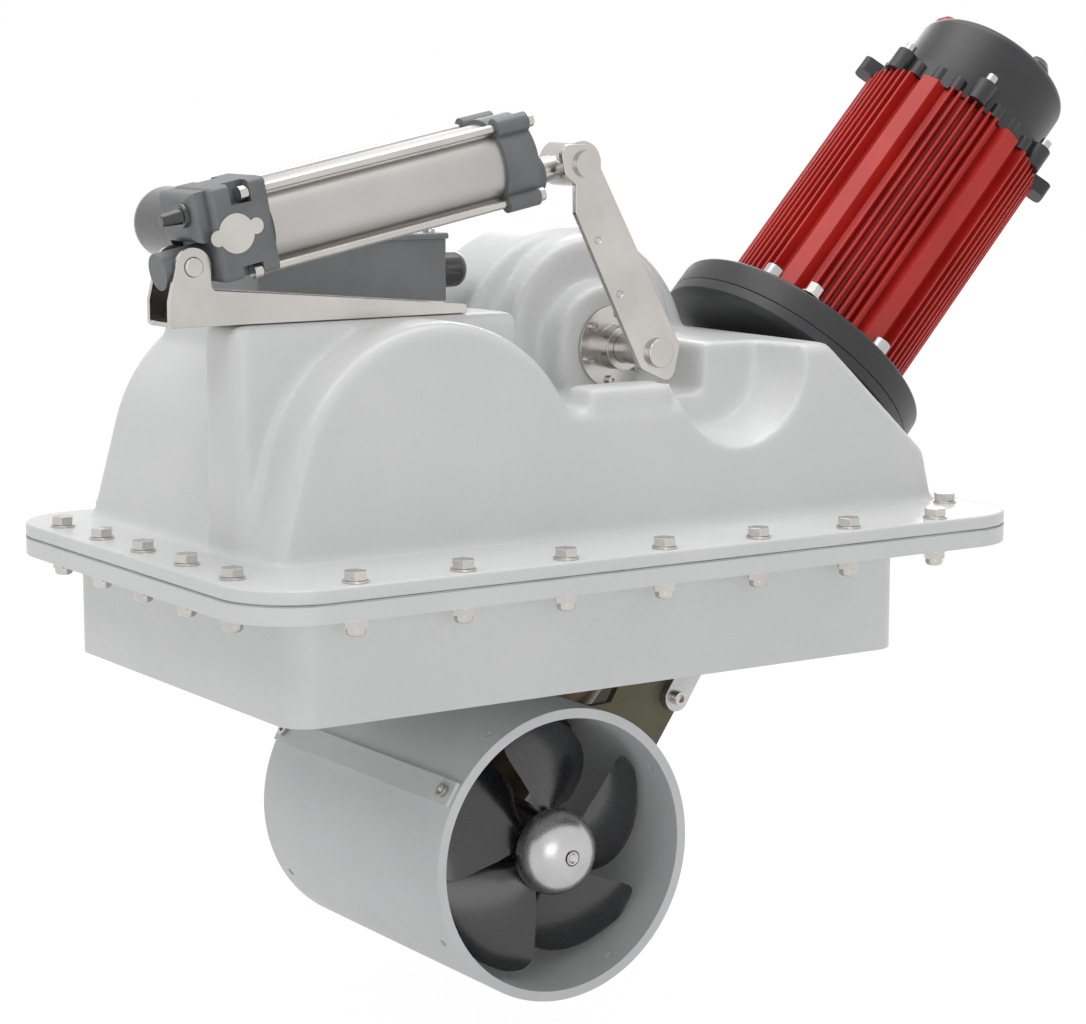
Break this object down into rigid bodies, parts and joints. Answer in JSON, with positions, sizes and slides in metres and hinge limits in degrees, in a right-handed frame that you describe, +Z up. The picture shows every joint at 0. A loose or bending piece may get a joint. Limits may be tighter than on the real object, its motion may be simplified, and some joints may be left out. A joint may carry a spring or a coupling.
{
  "type": "retractable bow thruster",
  "caption": "Retractable bow thruster: bolted hull trunk and cover, tilted electric motor, linear actuator and lever that swing a tunnel with paired propellers out of the hull.",
  "frame": {"origin": "middle of the joint plane between the trunk flange and the cover gasket", "axes": "+X towards the motor end, -Y towards the actuator and lever side, +Z up out of the hull; the tunnel is lowered"},
  "size_m": [0.7925, 0.366, 0.655],
  "materials": {
    "gelcoat": "smooth white gelcoat",
    "gasket": "matt black",
    "stainless": "polished",
    "tunnel_grey": "satin laminate",
    "motor_red": "gloss red paint",
    "motor_black": "satin black paint",
    "dark_casting": "dark grey casting",
    "steel": "turned steel",
    "aluminium": "satin tube",
    "bronze": "dark cast bronze",
    "olive_plate": "olive coated steel",
    "black_plastic": "satin black",
    "red_plastic": "soft red",
    "grey_plastic": "light grey box",
    "copper": "winding pack"
  },
  "bodies": {
    "root": {"hull_trunk": "gelcoat", "flange_gasket": "gasket", "cover_moulding": "gelcoat", "flange_bolts": "stainless", "flange_washers": "stainless", "flange_nuts": "stainless", "motor_adapter": "motor_black", "motor_flange": "motor_black", "motor_body": "motor_red", "motor_end_ring": "motor_black", "motor_end_bell": "motor_black", "motor_bearings": "steel", "motor_stator": "copper", "terminal_studs": "steel", "terminal_cap_red": "red_plastic", "terminal_cap_black": "black_plastic", "motor_screws": "steel", "drive_tube": "steel", "pivot_shaft": "stainless", "pivot_brackets": "olive_plate", "lever_bush": "stainless", "bush_studs": "stainless", "actuator_bracket": "stainless", "bracket_pin": "stainless", "control_box": "grey_plastic", "control_lid": "grey_plastic", "control_screws": "steel", "control_gland": "black_plastic"},
    "rotor": {"motor_rotor": "steel", "clutch_upper_half": "steel"},
    "swing": {"pivot_tube": "steel", "swing_cheeks": "olive_plate", "swing_arms": "steel", "swing_screws": "stainless", "swing_crank": "steel", "gear_leg": "bronze", "tunnel": "tunnel_grey", "tunnel_strip": "tunnel_grey"},
    "input": {"clutch_lower_half": "steel", "input_shaft": "steel"},
    "front_rotor": {"front_propeller_shaft": "steel", "front_propeller": "black_plastic", "front_nose_cone": "steel"},
    "rear_rotor": {"rear_propeller_shaft": "steel", "rear_propeller": "black_plastic", "rear_nose_cone": "steel"},
    "lever": {"lever_shaft": "stainless", "lever_plates": "stainless", "lever_spacers": "stainless", "rod_pins": "stainless", "lever_crank": "steel"},
    "link": {"coupling_link": "steel"},
    "actuator": {"gear_housing": "dark_casting", "gear_motor": "black_plastic", "cable_outlet": "black_plastic", "actuator_barrel": "aluminium", "tie_rods": "stainless", "actuator_head": "dark_casting"},
    "plunger": {"actuator_rod": "stainless"}
  },
  "joints": [
    {"name": "swing_pivot", "type": "hinge", "parent": "root", "child": "swing", "pos_m": [0.112, 0, -0.0052], "axis": [0, 1, 0], "range_deg": [0, 68]},
    {"name": "lever_turn", "type": "hinge", "parent": "root", "child": "lever", "pos_m": [0.074, -0.075, 0.121], "axis": [0, 1, 0], "range_deg": [0, 68]},
    {"name": "link_turn", "type": "hinge", "parent": "lever", "child": "link", "pos_m": [0.02485, 0.061, 0.08658], "axis": [0, 1, 0], "range_deg": [-68, 0]},
    {"name": "actuator_tilt", "type": "hinge", "parent": "root", "child": "actuator", "pos_m": [-0.27, -0.075, 0.191], "axis": [0, 1, 0], "range_deg": [0, 7.1]},
    {"name": "plunger_slide", "type": "slide", "parent": "actuator", "child": "plunger", "axis": [0.9805, 0, 0.1965], "range_m": [0, 0.15041]},
    {"name": "rotor_spin", "type": "hinge", "parent": "root", "child": "rotor", "pos_m": [-0.0176, 0, -0.207], "axis": [0.6756, 0, 0.7373], "continuous": true},
    {"name": "input_spin", "type": "hinge", "parent": "swing", "child": "input", "pos_m": [-0.0176, 0, -0.207], "axis": [0.6756, 0, 0.7373], "continuous": true},
    {"name": "front_propeller_spin", "type": "hinge", "parent": "swing", "child": "front_rotor", "pos_m": [-0.0176, 0, -0.207], "axis": [0, 1, 0], "continuous": true},
    {"name": "rear_propeller_spin", "type": "hinge", "parent": "swing", "child": "rear_rotor", "pos_m": [-0.0176, 0, -0.207], "axis": [0, 1, 0], "continuous": true}
  ],
  "couplings": [
    {"joint": "lever_turn", "follows": "swing_pivot", "ratio": 1},
    {"joint": "link_turn", "follows": "swing_pivot", "ratio": -1},
    {"joint": "actuator_tilt", "follows": "swing_pivot", "ratio": 0.10439},
    {"joint": "plunger_slide", "follows": "swing_pivot", "m_per_rad": 0.12672},
    {"joint": "input_spin", "follows": "rotor_spin", "ratio": 1},
    {"joint": "front_propeller_spin", "follows": "rotor_spin", "ratio": 1},
    {"joint": "rear_propeller_spin", "follows": "rotor_spin", "ratio": -1}
  ]
}
